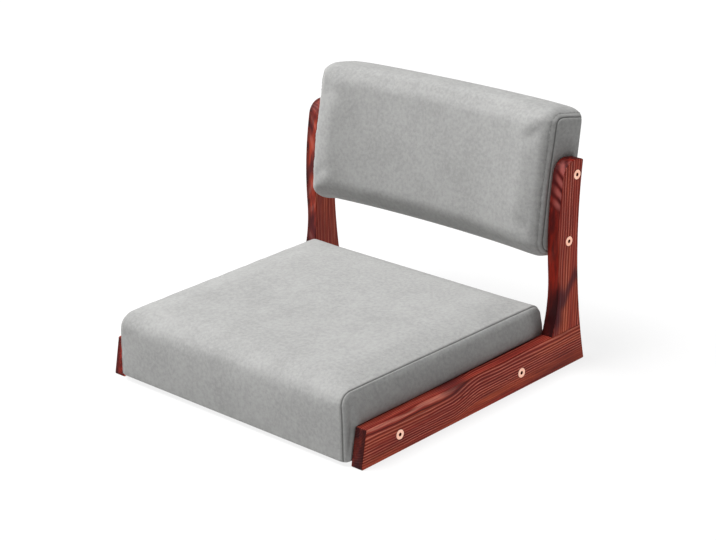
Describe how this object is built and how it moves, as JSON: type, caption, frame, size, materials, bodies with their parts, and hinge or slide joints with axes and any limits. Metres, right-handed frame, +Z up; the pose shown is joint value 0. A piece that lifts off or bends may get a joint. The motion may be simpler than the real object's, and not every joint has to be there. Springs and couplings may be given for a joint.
{
  "type": "legless floor chair",
  "caption": "Legless floor chair with L-shaped wooden side frames, a padded grey seat close to the floor and a low, gently curved padded backrest.",
  "frame": {"origin": "middle of the overall bounding box's underside, on the floor", "axes": "+X across the chair, to the right when it is seen from the front; +Y from the front edge of the seat towards the backrest; +Z up"},
  "size_m": [0.44, 0.44, 0.315],
  "materials": {
    "charred_pine": "dark reddish-brown charred and brushed pine, satin oil",
    "grey_cloth": "light grey brushed cloth, fine matt nap",
    "brass_bolt": "pale gold plated steel, polished",
    "zinc_nut": "zinc-plated steel",
    "frame_pine": "plain sawn pine, unfinished",
    "plywood": "raw plywood, sanded",
    "dowel_beech": "plain beech dowel",
    "screw_steel": "yellow zinc-plated wood screws",
    "foam": "open-cell upholstery foam, cream",
    "dust_cloth": "thin black non-woven cloth"
  },
  "bodies": {
    "root": {"back_block_screws_left": "screw_steel", "back_block_screws_right": "screw_steel", "back_bolts_left": "brass_bolt", "back_bolts_right": "brass_bolt", "back_cover": "grey_cloth", "back_end_block_left": "frame_pine", "back_end_block_right": "frame_pine", "back_foam": "foam", "back_insert_nuts_left": "zinc_nut", "back_insert_nuts_right": "zinc_nut", "back_post_left": "charred_pine", "back_post_right": "charred_pine", "back_rear_sheet": "foam", "back_shell": "plywood", "post_dowels_left": "dowel_beech", "post_dowels_right": "dowel_beech", "seat_bolts_left": "brass_bolt", "seat_bolts_right": "brass_bolt", "seat_corner_screws_left": "screw_steel", "seat_corner_screws_right": "screw_steel", "seat_cover": "grey_cloth", "seat_deck": "plywood", "seat_deck_screws": "screw_steel", "seat_dust_cover": "dust_cloth", "seat_foam": "foam", "seat_front_batten": "frame_pine", "seat_insert_nuts_left": "zinc_nut", "seat_insert_nuts_right": "zinc_nut", "seat_rear_batten": "frame_pine", "seat_side_batten_left": "frame_pine", "seat_side_batten_right": "frame_pine", "side_rail_left": "charred_pine", "side_rail_right": "charred_pine"}
  },
  "joints": []
}
